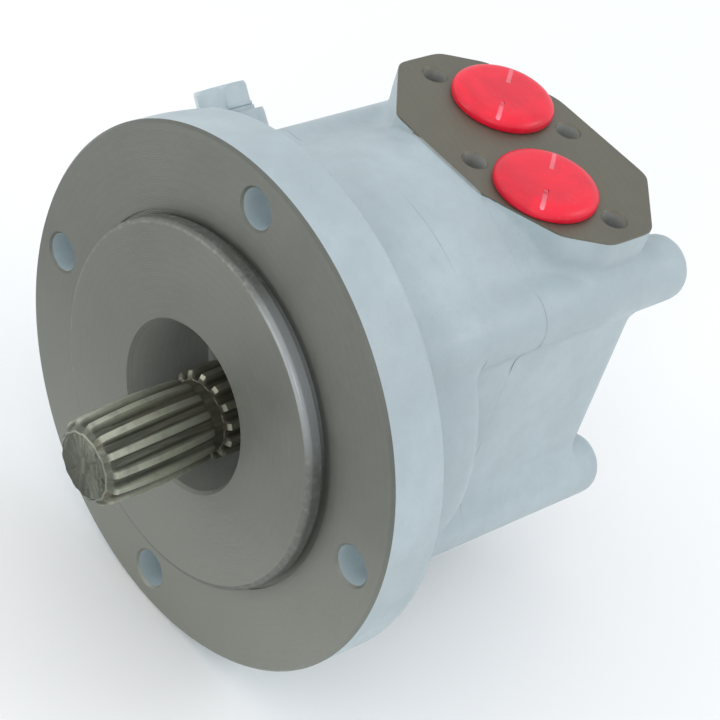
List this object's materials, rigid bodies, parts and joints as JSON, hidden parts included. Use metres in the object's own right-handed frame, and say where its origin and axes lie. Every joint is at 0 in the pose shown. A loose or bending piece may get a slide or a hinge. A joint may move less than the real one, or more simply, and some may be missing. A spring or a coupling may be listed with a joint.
{
  "type": "hydraulic gear pump",
  "caption": "Hydraulic gear pump in a painted iron casting, with a round bolted flange, a loose splined coupling shaft and red plastic plugs in its ports.",
  "frame": {"origin": "centre of the flange's mounting face, on the pump axis", "axes": "Y along the pump axis with the shaft end towards -Y, +Z out of the port face, X across the pump"},
  "size_m": [0.188, 0.2065, 0.188],
  "materials": {
    "cast_paint": "pale blue-grey primer, satin, on cast iron",
    "plug_paint": "the same primer over steel",
    "gear_steel": "ground, lightly oiled",
    "shaft_steel": "hardened, worn and oily",
    "screw_steel": "blackened",
    "spring_steel": "satin",
    "bearing_bronze": "satin",
    "seal_rubber": "matte",
    "red_plastic": "bright red, slightly soft gloss"
  },
  "bodies": {
    "casing": {"flange_housing": "cast_paint", "gear_plate": "cast_paint", "port_housing": "cast_paint", "front_drive_bush": "bearing_bronze", "front_driven_bush": "bearing_bronze", "rear_drive_bush": "bearing_bronze", "rear_driven_bush": "bearing_bronze", "front_wear_plate": "bearing_bronze", "rear_wear_plate": "bearing_bronze", "front_joint_ring": "seal_rubber", "rear_joint_ring": "seal_rubber", "shaft_seal": "seal_rubber", "garter_spring": "spring_steel", "seal_circlip": "spring_steel", "housing_screws": "screw_steel", "screw_washers": "screw_steel", "dowel_pins": "spring_steel", "drain_plug": "plug_paint", "drain_washer": "plug_paint"},
    "drive_gear": {"drive_gear": "gear_steel"},
    "driven_gear": {"driven_gear": "gear_steel"},
    "coupling_shaft": {"coupling_shaft": "shaft_steel"},
    "port_plug_a": {"port_plug_a": "red_plastic"},
    "port_plug_b": {"port_plug_b": "red_plastic"}
  },
  "joints": [
    {"name": "drive_spin", "type": "hinge", "parent": "casing", "child": "drive_gear", "pos_m": [0, 0.07, 0], "axis": [0, 1, 0], "continuous": true},
    {"name": "driven_spin", "type": "hinge", "parent": "casing", "child": "driven_gear", "pos_m": [0, 0.07, 0.042], "axis": [0, 1, 0], "continuous": true},
    {"name": "shaft_tilt", "type": "hinge", "parent": "drive_gear", "child": "coupling_shaft", "pos_m": [0, 0.08, 0], "axis": [-0.9272, 0, -0.3746], "range_deg": [0, 7.8]},
    {"name": "port_plug_a_pull", "type": "slide", "parent": "casing", "child": "port_plug_a", "axis": [0, 0, 1], "range_m": [0, 0.03]},
    {"name": "port_plug_b_pull", "type": "slide", "parent": "casing", "child": "port_plug_b", "axis": [0, 0, 1], "range_m": [0, 0.03]}
  ],
  "couplings": [
    {"joint": "driven_spin", "follows": "drive_spin", "ratio": -1}
  ]
}
